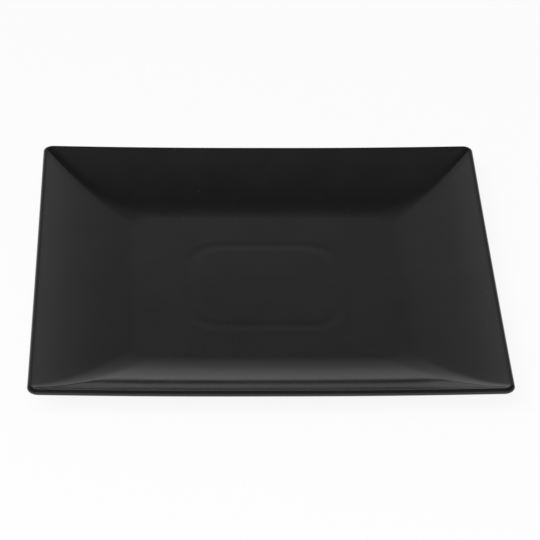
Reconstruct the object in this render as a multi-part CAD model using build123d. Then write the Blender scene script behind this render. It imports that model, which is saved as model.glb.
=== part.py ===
"""Square coupe dinner plate: a stoneware body and the three areas of glaze fused to it.

Millimetres, +Z up. The origin is on the table under the middle of the plate, and the sides lie along X and Y.
"""
from build123d import *
from math import asin, cos, radians, sin
import os

# Plate, over the glaze
plate_width = 260.0
corner_radius = 6.0
floor_thickness = 4.8
lip_thickness = 3.4
well_width = 145.0
well_depth = 16.0
well_corner_radius = 12.0
corner_lift = 1.4

# Foot that the plate stands on, with flat floor round it, and the inner foot, which stops short of the table
foot_height = 3.0
foot_width = 130.0
foot_corner_radius = 18.0
foot_margin = 7.5
foot_root_width = 6.0
foot_tread_width = 3.4
tread_round = 0.7
root_cove = 1.2
inner_foot_width = 90.0
inner_foot_clearance = 0.4

# Glaze, and the height above each tread where it was wiped away
glaze_thickness = 0.4
glaze_line = 1.3

# Outlines lofted through, up a side and round the lip
side_steps = 5
lip_steps = 8

# Where the sides start and end: at the edge of the well or of the flat underside, and at the round of the lip
lip_radius = lip_thickness / 2
well_inset = (plate_width - well_width) / 2
well_height = foot_height + floor_thickness
base_inset = (plate_width - foot_width) / 2 - foot_margin
lip_height = well_height + well_depth - lip_radius


def side_arc(start_inset, start_height, lip_side):
    """Radius and angle of an arc tangent to a flat and to the lip, outside it (1) or inside it (-1)."""
    run = start_inset - lip_radius
    rise = lip_height - start_height
    radius = (run**2 + rise**2 - lip_radius**2) / (2 * (rise + lip_side * lip_radius))
    return radius, asin(run / (radius + lip_side * lip_radius))


# Side curves: one arc for the eating face and a tighter one under it, so that the wall thins towards the lip
upper_radius, upper_angle = side_arc(well_inset, well_height, 1)
under_radius, under_angle = side_arc(base_inset, foot_height, -1)


def outline(inset, height, radius, lift):
    """Closed outline of the plate at one inset: four sides that rise a little to rounded corners."""
    half = plate_width / 2 - inset
    straight = half - radius
    bulge = radius * sin(radians(45))
    corner_height = height + lift
    start = Vector(-straight, -half, corner_height)
    end = Vector(straight, -half, corner_height)
    middle = Vector(0, -half, height)
    round_middle = Vector(straight + bulge, -straight - bulge, corner_height)
    round_end = Vector(half, -straight, corner_height)
    side = Edge.make_three_point_arc(start, middle, end) if lift > 0 else Edge.make_line(start, end)
    corner = Edge.make_three_point_arc(end, round_middle, round_end)
    return Wire([edge.rotate(Axis.Z, 90 * turn) for turn in range(4) for edge in (side, corner)])


def side_outlines(start_inset, start_height, radius, angle, offset):
    """Outlines up a side arc with an offset radius, whose corners rise and tighten from the flat to the lip."""
    reach = radius + offset
    angles = [angle * k / side_steps for k in range(side_steps + 1)]
    points = [(start_inset - reach * sin(a), start_height + radius - reach * cos(a)) for a in angles]
    lip_inset = points[-1][0]
    outlines = []
    for inset, height in points:
        way_up = (start_inset - inset) / (start_inset - lip_inset)
        corner = well_corner_radius + (corner_radius - lip_inset - well_corner_radius) * way_up
        outlines.append(outline(inset, height, corner, corner_lift * way_up))
    return outlines


def lip_outlines(radius):
    """Outlines round the lip, from the eating face to the underside."""
    last_angle = under_angle - radians(180)
    angles = [upper_angle + (last_angle - upper_angle) * k / lip_steps for k in range(lip_steps + 1)]
    points = [(lip_radius + radius * sin(a), lip_height + radius * cos(a)) for a in angles]
    return [outline(inset, height, corner_radius - inset, corner_lift) for inset, height in points]


def dish(skin):
    """The plate without its feet, cut back all over by a skin."""
    eating_face = side_outlines(well_inset, well_height, upper_radius, upper_angle, skin)
    lip = lip_outlines(lip_radius - skin)
    underside = side_outlines(base_inset, foot_height, under_radius, under_angle, -skin)
    faces = [Face(eating_face[0]), Face(underside[0])]
    for outlines in (eating_face, lip, underside):
        faces += Shell.make_loft(outlines).faces()
    return Solid(Shell(faces))


def foot_section(tread, skin):
    """Section of a foot, tapered from its root in the floor to its tread, with a skin on both walls."""
    root = foot_height + floor_thickness / 2
    taper = (foot_root_width - foot_tread_width) / 2 / foot_height
    half_root = foot_tread_width / 2 + taper * root + skin
    half_tread = foot_tread_width / 2 + taper * tread + skin
    corners = [(-half_tread, tread), (half_tread, tread), (half_root, root), (-half_root, root)]
    return Plane.XZ * make_face(Polyline(*corners, close=True))


def foot(width, section):
    """A foot of one section, swept round a square with rounded corners."""
    path_width = width - foot_root_width
    path = RectangleRounded(path_width, path_width, foot_corner_radius).face().outer_wire()
    return sweep(Pos(X=path_width / 2) * section, path)


def on_feet(plate, outer_section, inner_section, cove):
    """A plate on its two feet, with a cove where they meet it."""
    outer_foot = foot(foot_width, outer_section)
    inner_foot = foot(inner_foot_width, inner_section)
    standing = plate + outer_foot + inner_foot
    return fillet(new_edges(plate, outer_foot, inner_foot, combined=standing), cove)


def rounded_tread(section):
    """A foot section with the edges of its tread rounded."""
    return fillet(section.vertices().group_by(Axis.Z)[0], tread_round)


# Clay body: its feet reach below the glaze, the outer one to the table
clay_body = on_feet(
    dish(glaze_thickness),
    rounded_tread(foot_section(0, 0)),
    rounded_tread(foot_section(inner_foot_clearance, 0)),
    root_cove + glaze_thickness,
)

# Glaze: all that covers the clay, parted by the bare feet into three areas
glazed_plate = on_feet(
    dish(0),
    foot_section(glaze_line, glaze_thickness),
    foot_section(inner_foot_clearance + glaze_line, glaze_thickness),
    root_cove,
)
glaze_areas = (glazed_plate - clay_body).solids().sort_by(lambda area: area.bounding_box().size.X)
centre_glaze, foot_channel_glaze, outer_glaze = glaze_areas

os.makedirs("parts", exist_ok=True)
export_step(clay_body, "parts/clay_body.step")
export_step(outer_glaze, "parts/outer_glaze.step")
export_step(foot_channel_glaze, "parts/foot_channel_glaze.step")
export_step(centre_glaze, "parts/centre_glaze.step")
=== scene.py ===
import bpy
from math import asin, atan, cos, degrees, pi, radians, sin, sqrt, tan
from mathutils import Matrix


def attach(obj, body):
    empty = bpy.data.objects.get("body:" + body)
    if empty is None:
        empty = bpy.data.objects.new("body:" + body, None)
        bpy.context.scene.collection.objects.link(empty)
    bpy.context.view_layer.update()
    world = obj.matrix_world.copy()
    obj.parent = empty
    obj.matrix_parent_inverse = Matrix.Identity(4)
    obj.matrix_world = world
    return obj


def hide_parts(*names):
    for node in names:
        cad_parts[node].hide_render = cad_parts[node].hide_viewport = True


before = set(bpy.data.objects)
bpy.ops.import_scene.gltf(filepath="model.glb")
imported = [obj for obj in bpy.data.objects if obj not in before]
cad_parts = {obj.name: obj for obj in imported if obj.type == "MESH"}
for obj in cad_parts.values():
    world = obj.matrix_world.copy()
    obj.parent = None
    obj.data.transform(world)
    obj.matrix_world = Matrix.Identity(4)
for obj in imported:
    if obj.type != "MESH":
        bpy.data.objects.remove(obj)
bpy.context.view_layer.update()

# Body: dark stoneware pressed in a mould in one piece with its two feet, then fired.
# The glaze covers it all but the treads, which are wiped bare so that the plate doesn't stick in the kiln.
plate_half = 0.130
corner_radius = 0.006
well_rounding = 0.012
floor_thickness = 0.0048
underside_height = 0.0030
well_floor = underside_height + floor_thickness
well_half = 0.0725
well_depth = 0.0160
lip_radius = 0.0017
lip_centre = (plate_half - lip_radius, well_floor + well_depth - lip_radius)
glaze_thickness = 0.0004


def section_arc(centre, radius, first, last, steps):
    """Half widths and heights along an arc of the plate's section, in degrees from straight down."""
    angles = [radians(first + (last - first) * k / steps) for k in range(steps + 1)]
    return [(centre[0] + radius * sin(a), centre[1] - radius * cos(a)) for a in angles]


def side_arc(floor_height, lip_side):
    """Centre, radius and angle of an arc from a floor to the lip, on its outside (1) or inside (-1)."""
    run = lip_centre[0] - well_half
    rise = lip_centre[1] - floor_height
    radius = (run**2 + rise**2 - lip_radius**2) / (2 * (rise + lip_side * lip_radius))
    angle = degrees(asin(run / (radius + lip_side * lip_radius)))
    return (well_half, floor_height + radius), radius, angle


def plain_sheet(half, height):
    """A flat square sheet, left in edit mode with its one face selected."""
    bpy.ops.object.select_all(action="DESELECT")
    bpy.ops.mesh.primitive_plane_add(size=2 * half, location=(0, 0, height))
    bpy.ops.object.transform_apply()
    sheet = bpy.context.object
    bpy.ops.object.mode_set(mode="EDIT")
    return sheet


long_edge = 0.03
side_cuts = 24


def cut_sides(piece):
    """Cuts the long straight edges of a piece into short ones, and leaves it in edit mode."""
    bpy.ops.object.mode_set(mode="EDIT")
    bpy.ops.mesh.select_mode(type="EDGE")
    bpy.ops.mesh.select_all(action="DESELECT")
    bpy.ops.object.mode_set(mode="OBJECT")
    points = piece.data.vertices
    for edge in piece.data.edges:
        start, end = edge.vertices
        edge.select = (points[start].co - points[end].co).length > long_edge
    bpy.ops.object.mode_set(mode="EDIT")
    bpy.ops.mesh.subdivide(number_cuts=side_cuts)


def draw_face(steps):
    """Draws the selected face on from step to step, each a half width and a height."""
    for (half, height), (next_half, next_height) in zip(steps, steps[1:]):
        bpy.ops.mesh.extrude_region()
        bpy.ops.transform.translate(value=(0, 0, next_height - height))
        bpy.ops.transform.resize(value=(next_half / half, next_half / half, 1), center_override=(0, 0, 0))


same_height = 0.00001


def open_ends(piece, height):
    """Takes out the many-sided faces of a piece that lie at one height."""
    bpy.ops.object.mode_set(mode="EDIT")
    bpy.ops.mesh.select_mode(type="FACE")
    bpy.ops.mesh.select_all(action="DESELECT")
    bpy.ops.object.mode_set(mode="OBJECT")
    for face in piece.data.polygons:
        face.select = len(face.vertices) > 4 and abs(face.center.z - height) < same_height
    bpy.ops.object.mode_set(mode="EDIT")
    bpy.ops.mesh.delete(type="FACE")
    bpy.ops.object.mode_set(mode="OBJECT")


corner_segments = 8


def round_corners(plate, lip_edge):
    """Rounds the mitred corners of a plate, tight at the lip and wider towards the well and underside."""
    weights = plate.data.attributes.new("bevel_weight_edge", "FLOAT", "EDGE")
    points = plate.data.vertices
    for edge in plate.data.edges:
        start, end = (points[index].co for index in edge.vertices)
        if start.x * end.x > 0 and start.y * end.y > 0:
            half = (abs(start.x) + abs(end.x)) / 2
            lip_rounding = corner_radius - plate_half + max(half, lip_edge)
            way_in = max(0, lip_edge - half) / (lip_edge - well_half)
            rounding = lip_rounding + (well_rounding - lip_rounding) * way_in
            across_mitre = sqrt(1 - ((start.x - end.x) / (start - end).length) ** 2)
            weights.data[edge.index].value = rounding * across_mitre / well_rounding
    corners = plate.modifiers.new("corners", "BEVEL")
    corners.limit_method = "WEIGHT"
    corners.offset_type = "OFFSET"
    corners.width = well_rounding
    corners.segments = corner_segments
    corners.profile = 0.5
    corners.use_clamp_overlap = False
    bpy.ops.object.modifier_apply(modifier=corners.name)


outside_steps = 18
lip_outside_steps = 6
lip_inside_steps = 12
inside_steps = 30


def press_plate(name, skin):
    """The plate without its feet: a sheet drawn up the outside, over the lip and down into the well."""
    under_centre, under_radius, under_angle = side_arc(underside_height, -1)
    upper_centre, upper_radius, upper_angle = side_arc(well_floor, 1)
    inside = section_arc(upper_centre, upper_radius + skin, upper_angle, 0, inside_steps)
    steps = section_arc(under_centre, under_radius - skin, 0, under_angle, outside_steps)
    steps += section_arc(lip_centre, lip_radius - skin, under_angle, 90, lip_outside_steps)[1:]
    steps += section_arc(lip_centre, lip_radius - skin, 90, upper_angle + 180, lip_inside_steps)[1:]
    steps += inside[1:]
    plate = plain_sheet(*steps[0])
    plate.name = name
    draw_face(steps)
    bpy.ops.object.mode_set(mode="OBJECT")
    round_corners(plate, inside[0][0])
    open_ends(plate, steps[0][1])
    open_ends(plate, steps[-1][1])
    cut_sides(plate)
    bpy.ops.mesh.select_all(action="SELECT")
    bpy.ops.mesh.normals_make_consistent(inside=False)
    bpy.ops.object.mode_set(mode="OBJECT")
    return plate


def inset_sheet(steps, rounding):
    """A sheet with rounded corners, set in from step to step and left in edit mode."""
    sheet = plain_sheet(*steps[0])
    bpy.ops.mesh.bevel(
        offset_type="ABSOLUTE", offset=rounding, segments=corner_segments, profile=0.5, affect="VERTICES"
    )
    cut_sides(sheet)
    bpy.ops.mesh.select_mode(type="FACE")
    bpy.ops.mesh.select_all(action="SELECT")
    for (half, height), (next_half, next_height) in zip(steps, steps[1:]):
        bpy.ops.mesh.inset(thickness=half - next_half, depth=next_height - height)
    return sheet


def underside_sheet(steps, rounding):
    """An inset sheet that faces down, for a foot or for the glaze beside one."""
    sheet = inset_sheet(steps, rounding)
    bpy.ops.mesh.select_all(action="SELECT")
    bpy.ops.mesh.flip_normals()
    bpy.ops.object.mode_set(mode="OBJECT")
    return sheet


def bridge_on(piece, sheet, height):
    """Joins a sheet to a piece that faces the same way and bridges their open edges at one height."""
    bpy.ops.object.mode_set(mode="OBJECT")
    bpy.ops.object.select_all(action="DESELECT")
    sheet.select_set(True)
    piece.select_set(True)
    bpy.context.view_layer.objects.active = piece
    bpy.ops.object.join()
    bpy.ops.object.mode_set(mode="EDIT")
    bpy.ops.mesh.select_mode(type="EDGE")
    bpy.ops.mesh.select_all(action="DESELECT")
    bpy.ops.mesh.select_non_manifold(
        use_wire=False, use_multi_face=False, use_non_contiguous=False, use_verts=False
    )
    bpy.ops.object.mode_set(mode="OBJECT")
    points = piece.data.vertices
    for edge in piece.data.edges:
        level = all(abs(points[index].co.z - height) < same_height for index in edge.vertices)
        edge.select = edge.select and level
    bpy.ops.object.mode_set(mode="EDIT")
    bpy.ops.mesh.bridge_edge_loops()
    bpy.ops.object.mode_set(mode="OBJECT")


foot_half = 0.062
foot_rounding = 0.018
inner_foot_half = 0.042
inner_foot_clearance = 0.0004
tread_half = 0.0017
tread_round = 0.0007
tread_steps = 5
wall_taper = 0.0013
wall_lean = atan(wall_taper / underside_height)
root_cove = 0.0012
cove_steps = 6


def foot_root(skin):
    """Distances from a foot's middle and heights, from the underside round the cove on to its wall."""
    cove = root_cove + glaze_thickness - skin
    cove_height = underside_height + glaze_thickness - skin - cove
    cove_middle = tread_half + skin + cove_height * tan(wall_lean) + cove / cos(wall_lean)
    return section_arc((cove_middle, cove_height), cove, 180, 270 - degrees(wall_lean), cove_steps)


def bare_foot(tread_height):
    """Distances from a foot's middle and heights, from the underside down to its rounded bare tread."""
    height = tread_height + tread_round
    middle = tread_half + height * tan(wall_lean) - tread_round / cos(wall_lean)
    tread = section_arc((middle, height), tread_round, 90 - degrees(wall_lean), 0, tread_steps)
    return foot_root(0) + tread


def outer_side(middle, wall):
    """Half widths and heights down the outer side of a foot."""
    return [(middle + out, height) for out, height in wall]


def inner_side(middle, wall):
    """Half widths and heights up the inner side of a foot."""
    return [(middle - out, height) for out, height in reversed(wall)]


mark_half = 0.0065
mark_depth = 0.000065
mark_steps = 14


def lay_well_floor(piece, skin):
    """Closes the well with its floor, which has sunk a little over the inner foot in the fire."""
    floor_height = well_floor - skin
    steps = []
    for k in range(mark_steps + 1):
        half = inner_foot_half + mark_half - 2 * mark_half * k / mark_steps
        dip = mark_depth * (1 - cos(2 * pi * k / mark_steps)) / 2
        steps.append((half, floor_height - dip))
    sheet = inset_sheet(steps, foot_rounding + mark_half)
    bridge_on(piece, sheet, floor_height)


corner_lift = 0.0014
lift_reach = 0.115
lip_band = 0.0002
corner_share = 0.4


def lift_corners(piece):
    """Draws the four corners of the lip up a little, and what lies round them less and less."""
    bpy.ops.object.mode_set(mode="EDIT")
    bpy.ops.mesh.select_mode(type="VERT")
    bpy.ops.mesh.select_all(action="DESELECT")
    bpy.ops.object.mode_set(mode="OBJECT")
    for point in piece.data.vertices:
        at_lip = abs(point.co.z - lip_centre[1]) < lip_band
        at_corner = min(abs(point.co.x), abs(point.co.y)) > plate_half - corner_share * corner_radius
        point.select = at_lip and at_corner
    bpy.ops.object.mode_set(mode="EDIT")
    bpy.ops.transform.translate(
        value=(0, 0, corner_lift),
        use_proportional_edit=True,
        proportional_edit_falloff="SHARP",
        proportional_size=lift_reach,
    )
    bpy.ops.mesh.select_all(action="SELECT")
    bpy.ops.mesh.normals_make_consistent(inside=False)
    bpy.ops.object.mode_set(mode="OBJECT")


crease_angle = radians(35)
clay_underside = underside_height + glaze_thickness
foot = bare_foot(0)
foot_steps = outer_side(foot_half, foot) + inner_side(foot_half, foot)
inner_foot = bare_foot(inner_foot_clearance)
inner_foot_steps = outer_side(inner_foot_half, inner_foot) + inner_side(inner_foot_half, inner_foot)

body = press_plate("stoneware_body", glaze_thickness)
outer_foot_sheet = underside_sheet(foot_steps, foot_rounding + foot[0][0])
bridge_on(body, outer_foot_sheet, clay_underside)
open_ends(body, clay_underside)
inner_foot_sheet = underside_sheet(inner_foot_steps, foot_rounding + inner_foot[0][0])
bridge_on(body, inner_foot_sheet, clay_underside)
lay_well_floor(body, glaze_thickness)
lift_corners(body)
bpy.ops.object.shade_smooth_by_angle(angle=crease_angle)

# The fire leaves clay and glaze with soft mottling, fine grain and scattered specks, each at its own scale.
fired_surface = bpy.data.node_groups.new("fired_surface", "ShaderNodeTree")
for label in ("Mottle Scale", "Grain Scale", "Speck Scale", "Speck Size"):
    fired_surface.interface.new_socket(label, in_out="INPUT", socket_type="NodeSocketFloat")
for label in ("Mottle", "Grain", "Specks"):
    fired_surface.interface.new_socket(label, in_out="OUTPUT", socket_type="NodeSocketFloat")
nodes = fired_surface.nodes
links = fired_surface.links
scales = nodes.new("NodeGroupInput")
marks = nodes.new("NodeGroupOutput")
place = nodes.new("ShaderNodeTexCoord")
mottle = nodes.new("ShaderNodeTexNoise")
mottle.inputs["Detail"].default_value = 4
links.new(place.outputs["Object"], mottle.inputs["Vector"])
links.new(scales.outputs["Mottle Scale"], mottle.inputs["Scale"])
links.new(mottle.outputs["Fac"], marks.inputs["Mottle"])
grain = nodes.new("ShaderNodeTexNoise")
grain.inputs["Detail"].default_value = 2
links.new(place.outputs["Object"], grain.inputs["Vector"])
links.new(scales.outputs["Grain Scale"], grain.inputs["Scale"])
links.new(grain.outputs["Fac"], marks.inputs["Grain"])
specks = nodes.new("ShaderNodeTexVoronoi")
links.new(place.outputs["Object"], specks.inputs["Vector"])
links.new(scales.outputs["Speck Scale"], specks.inputs["Scale"])
speck_edge = nodes.new("ShaderNodeMapRange")
speck_edge.interpolation_type = "SMOOTHSTEP"
speck_edge.inputs["To Min"].default_value = 1
speck_edge.inputs["To Max"].default_value = 0
links.new(specks.outputs["Distance"], speck_edge.inputs["Value"])
links.new(scales.outputs["Speck Size"], speck_edge.inputs["From Max"])
links.new(speck_edge.outputs["Result"], marks.inputs["Specks"])

clay = bpy.data.materials.new("bare_stoneware")
clay.use_nodes = True
nodes = clay.node_tree.nodes
links = clay.node_tree.links
surface = nodes["Principled BSDF"]
surface.inputs["Roughness"].default_value = 0.85
fired = nodes.new("ShaderNodeGroup")
fired.node_tree = fired_surface
fired.inputs["Mottle Scale"].default_value = 140
fired.inputs["Grain Scale"].default_value = 2600
fired.inputs["Speck Scale"].default_value = 420
fired.inputs["Speck Size"].default_value = 0.20
clay_colours = nodes.new("ShaderNodeValToRGB")
clay_colours.color_ramp.elements[0].position = 0.35
clay_colours.color_ramp.elements[0].color = (0.115, 0.090, 0.075, 1)
clay_colours.color_ramp.elements[1].position = 0.68
clay_colours.color_ramp.elements[1].color = (0.205, 0.165, 0.135, 1)
links.new(fired.outputs["Mottle"], clay_colours.inputs["Fac"])
iron_specks = nodes.new("ShaderNodeMix")
iron_specks.data_type = "RGBA"
iron_specks.inputs[7].default_value = (0.05, 0.036, 0.028, 1)
links.new(fired.outputs["Specks"], iron_specks.inputs[0])
links.new(clay_colours.outputs["Color"], iron_specks.inputs[6])
links.new(iron_specks.outputs[2], surface.inputs["Base Color"])
grit = nodes.new("ShaderNodeBump")
grit.inputs["Strength"].default_value = 0.5
grit.inputs["Distance"].default_value = 0.00015
links.new(fired.outputs["Grain"], grit.inputs["Height"])
links.new(grit.outputs["Normal"], surface.inputs["Normal"])
body.data.materials.append(clay)
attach(body, "root")
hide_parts("clay_body")

# Outer glaze: satin black glaze poured over the eating face, the lip and the outside, and melted on.
# It stops in a wiped line a little above the tread of the foot that the plate stands on.
glaze_line = 0.0013


def glazed_wall(line_height):
    """Distances from a foot's middle and heights, from the underside down its wall to the glaze line."""
    end = tread_half + glaze_thickness + line_height * tan(wall_lean)
    return foot_root(glaze_thickness) + [(end, line_height)]


def thicken_glaze(piece):
    """Gives a sheet of glaze its thickness, inwards from its outer face."""
    coat = piece.modifiers.new("coat", "SOLIDIFY")
    coat.thickness = glaze_thickness
    coat.offset = -1
    bpy.ops.object.modifier_apply(modifier=coat.name)
    bpy.ops.object.shade_smooth_by_angle(angle=crease_angle)


outer = press_plate("outer_black_glaze", 0)
foot_wall = glazed_wall(glaze_line)
foot_wall_sheet = underside_sheet(outer_side(foot_half, foot_wall), foot_rounding + foot_wall[0][0])
bridge_on(outer, foot_wall_sheet, underside_height)
open_ends(outer, glaze_line)
lay_well_floor(outer, 0)
lift_corners(outer)
thicken_glaze(outer)

glaze = bpy.data.materials.new("satin_black_glaze")
glaze.use_nodes = True
nodes = glaze.node_tree.nodes
links = glaze.node_tree.links
surface = nodes["Principled BSDF"]
surface.inputs["IOR"].default_value = 1.5
fired = nodes.new("ShaderNodeGroup")
fired.node_tree = fired_surface
fired.inputs["Mottle Scale"].default_value = 45
fired.inputs["Grain Scale"].default_value = 1800
fired.inputs["Speck Scale"].default_value = 85
fired.inputs["Speck Size"].default_value = 0.03
glaze_colours = nodes.new("ShaderNodeValToRGB")
glaze_colours.color_ramp.elements[0].position = 0.35
glaze_colours.color_ramp.elements[0].color = (0.0052, 0.0052, 0.0054, 1)
glaze_colours.color_ramp.elements[1].position = 0.70
glaze_colours.color_ramp.elements[1].color = (0.0068, 0.0067, 0.0066, 1)
links.new(fired.outputs["Mottle"], glaze_colours.inputs["Fac"])
pale_specks = nodes.new("ShaderNodeMix")
pale_specks.data_type = "RGBA"
pale_specks.inputs[7].default_value = (0.13, 0.127, 0.12, 1)
links.new(fired.outputs["Specks"], pale_specks.inputs[0])
links.new(glaze_colours.outputs["Color"], pale_specks.inputs[6])
links.new(pale_specks.outputs[2], surface.inputs["Base Color"])
satin = nodes.new("ShaderNodeMapRange")
satin.inputs["From Min"].default_value = 0.3
satin.inputs["From Max"].default_value = 0.7
satin.inputs["To Min"].default_value = 0.125
satin.inputs["To Max"].default_value = 0.155
links.new(fired.outputs["Mottle"], satin.inputs["Value"])
links.new(satin.outputs["Result"], surface.inputs["Roughness"])
place = nodes.new("ShaderNodeTexCoord")
ripple = nodes.new("ShaderNodeTexNoise")
ripple.inputs["Scale"].default_value = 170
ripple.inputs["Detail"].default_value = 1
links.new(place.outputs["Object"], ripple.inputs["Vector"])
ripple_bump = nodes.new("ShaderNodeBump")
ripple_bump.inputs["Distance"].default_value = 0.00001
links.new(ripple.outputs["Fac"], ripple_bump.inputs["Height"])
grain_bump = nodes.new("ShaderNodeBump")
grain_bump.inputs["Distance"].default_value = 0.000004
links.new(fired.outputs["Grain"], grain_bump.inputs["Height"])
links.new(ripple_bump.outputs["Normal"], grain_bump.inputs["Normal"])
links.new(grain_bump.outputs["Normal"], surface.inputs["Normal"])
outer.data.materials.append(glaze)
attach(outer, "root")
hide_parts("outer_glaze")

# Foot channel glaze: the same glaze, left in the channel between the two feet.
# Both feet were wiped, so it is an area of its own.
inner_line = inner_foot_clearance + glaze_line
inner_foot_wall = glazed_wall(inner_line)
channel = underside_sheet(inner_side(foot_half, foot_wall), foot_rounding - foot_wall[-1][0])
channel.name = "foot_channel_black_glaze"
open_ends(channel, underside_height)
inner_outside_steps = outer_side(inner_foot_half, inner_foot_wall)
inner_wall_sheet = underside_sheet(inner_outside_steps, foot_rounding + inner_foot_wall[0][0])
open_ends(inner_wall_sheet, inner_line)
bridge_on(channel, inner_wall_sheet, underside_height)
thicken_glaze(channel)
channel.data.materials.append(glaze)
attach(channel, "root")
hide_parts("foot_channel_glaze")

# Centre glaze: the square of the same glaze inside the inner foot, under the middle of the plate.
# It runs a little way down the foot's inner wall, to the line where the foot was wiped.
centre_steps = inner_side(inner_foot_half, inner_foot_wall)
centre = underside_sheet(centre_steps, foot_rounding - inner_foot_wall[-1][0])
centre.name = "centre_black_glaze"
thicken_glaze(centre)
centre.data.materials.append(glaze)
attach(centre, "root")
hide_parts("centre_glaze")

# Floor: a plain pale table top that fills the view and takes the plate's soft shadow.
# What the camera and the glaze see of it is mostly white, and the rest is lit by the room.
bpy.ops.object.select_all(action="DESELECT")
bpy.ops.mesh.primitive_plane_add(size=8, location=(0, 0, 0))
floor = bpy.context.object
floor.name = "table_top"
pale = bpy.data.materials.new("pale_table")
pale.use_nodes = True
nodes = pale.node_tree.nodes
links = pale.node_tree.links
matt = nodes["Principled BSDF"]
matt.inputs["Base Color"].default_value = (0.8, 0.8, 0.8, 1)
matt.inputs["Roughness"].default_value = 0.9
matt.inputs["Specular IOR Level"].default_value = 0
white = nodes.new("ShaderNodeEmission")
white.inputs["Strength"].default_value = 1
rays = nodes.new("ShaderNodeLightPath")
mirrored = nodes.new("ShaderNodeMath")
mirrored.operation = "MAXIMUM"
links.new(rays.outputs["Is Glossy Ray"], mirrored.inputs[0])
links.new(rays.outputs["Is Transmission Ray"], mirrored.inputs[1])
seen = nodes.new("ShaderNodeMath")
seen.operation = "MAXIMUM"
links.new(rays.outputs["Is Camera Ray"], seen.inputs[0])
links.new(mirrored.outputs["Value"], seen.inputs[1])
white_share = nodes.new("ShaderNodeMath")
white_share.operation = "MULTIPLY"
white_share.inputs[1].default_value = 0.90
links.new(seen.outputs["Value"], white_share.inputs[0])
mix = nodes.new("ShaderNodeMixShader")
links.new(white_share.outputs["Value"], mix.inputs["Fac"])
links.new(matt.outputs["BSDF"], mix.inputs[1])
links.new(white.outputs["Emission"], mix.inputs[2])
links.new(mix.outputs["Shader"], nodes["Material Output"].inputs["Surface"])
floor.data.materials.append(pale)

# Light: one large soft lamp behind the camera, and a room with a pale wall all round under a dark ceiling.
# The wall is brightest a little to the left of the middle and falls off into shade to the right.
bpy.ops.object.light_add(type="AREA", location=(-0.7, -2.2, 2.3))
lamp = bpy.context.object
lamp.name = "soft_key"
lamp.data.shape = "RECTANGLE"
lamp.data.size = 2.4
lamp.data.size_y = 1.6
lamp.data.energy = 140
lamp.visible_glossy = False
lamp.rotation_euler = (-lamp.location).to_track_quat("-Z", "Y").to_euler()


def set_levels(ramp, levels):
    """Gives a colour ramp its grey levels, each at its place from 0 to 1."""
    stops = ramp.color_ramp.elements
    for position, _ in levels[1:-1]:
        stops.new(position)
    for stop, (position, level) in zip(stops, levels):
        stop.position = position
        stop.color = (level, level, level, 1)


room = bpy.data.worlds.new("studio_room")
bpy.context.scene.world = room
room.use_nodes = True
nodes = room.node_tree.nodes
links = room.node_tree.links
background = nodes["Background"]
direction = nodes.new("ShaderNodeTexCoord")
split = nodes.new("ShaderNodeSeparateXYZ")
links.new(direction.outputs["Generated"], split.inputs["Vector"])

# Light across the room, from left to right
room_across = nodes.new("ShaderNodeMapRange")
room_across.inputs["From Min"].default_value = -0.5
room_across.inputs["From Max"].default_value = 0.5
links.new(split.outputs["X"], room_across.inputs["Value"])
side_light = nodes.new("ShaderNodeValToRGB")
side_levels = (
    (0.0, 0.84),
    (0.22, 0.87),
    (0.37, 1.10),
    (0.46, 1.12),
    (0.54, 0.90),
    (0.66, 0.84),
    (0.80, 0.76),
    (1.0, 0.68),
)
set_levels(side_light, side_levels)
links.new(room_across.outputs["Result"], side_light.inputs["Fac"])
links.new(side_light.outputs["Color"], background.inputs["Strength"])

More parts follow.
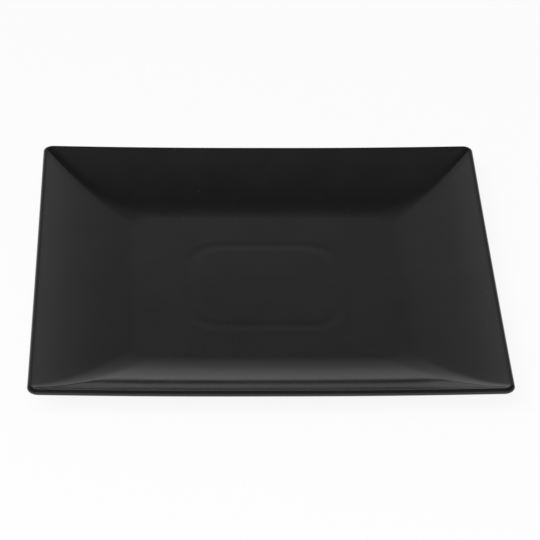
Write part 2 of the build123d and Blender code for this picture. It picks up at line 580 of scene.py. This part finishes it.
# Light up the walls and over the ceiling
side_walls = nodes.new("ShaderNodeMath")
side_walls.operation = "ABSOLUTE"
links.new(split.outputs["X"], side_walls.inputs[0])
end_walls = nodes.new("ShaderNodeMath")
end_walls.operation = "ABSOLUTE"
links.new(split.outputs["Y"], end_walls.inputs[0])
wall_distance = nodes.new("ShaderNodeMath")
wall_distance.operation = "MAXIMUM"
links.new(side_walls.outputs["Value"], wall_distance.inputs[0])
links.new(end_walls.outputs["Value"], wall_distance.inputs[1])
reach = nodes.new("ShaderNodeMath")
reach.operation = "ADD"
links.new(split.outputs["Z"], reach.inputs[0])
links.new(wall_distance.outputs["Value"], reach.inputs[1])
wall_height = nodes.new("ShaderNodeMath")
wall_height.operation = "DIVIDE"
links.new(split.outputs["Z"], wall_height.inputs[0])
links.new(reach.outputs["Value"], wall_height.inputs[1])
room_light = nodes.new("ShaderNodeValToRGB")
room_levels = (
    (0.0, 0.64),
    (0.12, 0.61),
    (0.22, 0.59),
    (0.31, 0.43),
    (0.366, 0.31),
    (0.40, 0.195),
    (0.43, 0.155),
    (0.48, 0.085),
    (0.56, 0.075),
    (0.65, 0.105),
    (0.79, 0.15),
    (0.90, 0.19),
    (1.0, 0.24),
)
set_levels(room_light, room_levels)
links.new(wall_height.outputs["Value"], room_light.inputs["Fac"])
links.new(room_light.outputs["Color"], background.inputs["Color"])

# White beyond the table top, for the camera alone
white_room = nodes.new("ShaderNodeBackground")
white_room.inputs["Color"].default_value = (1, 1, 1, 1)
room_rays = nodes.new("ShaderNodeLightPath")
seen_room = nodes.new("ShaderNodeMixShader")
links.new(room_rays.outputs["Is Camera Ray"], seen_room.inputs["Fac"])
links.new(background.outputs["Background"], seen_room.inputs[1])
links.new(white_room.outputs["Background"], seen_room.inputs[2])
links.new(seen_room.outputs["Shader"], nodes["World Output"].inputs["Surface"])

# Camera: a long lens in front of the plate and above it, at the viewing angle of the photograph.
# It is turned a little to the right, tilted down and rolled a little.
camera_turn = -0.044067
camera_tilt = 0.567707
camera_roll = 0.023164
bpy.ops.object.camera_add()
camera = bpy.context.object
camera.data.sensor_width = 36
camera.data.lens = 190.15
camera.data.clip_end = 20
camera.matrix_world = (
    Matrix.Translation((-0.0573, -1.3696, 0.8923))
    @ Matrix.Rotation(camera_turn, 4, "Z")
    @ Matrix.Rotation(pi / 2 - camera_tilt, 4, "X")
    @ Matrix.Rotation(camera_roll, 4, "Z")
)
bpy.context.scene.camera = camera
bpy.context.scene.view_settings.view_transform = "Standard"
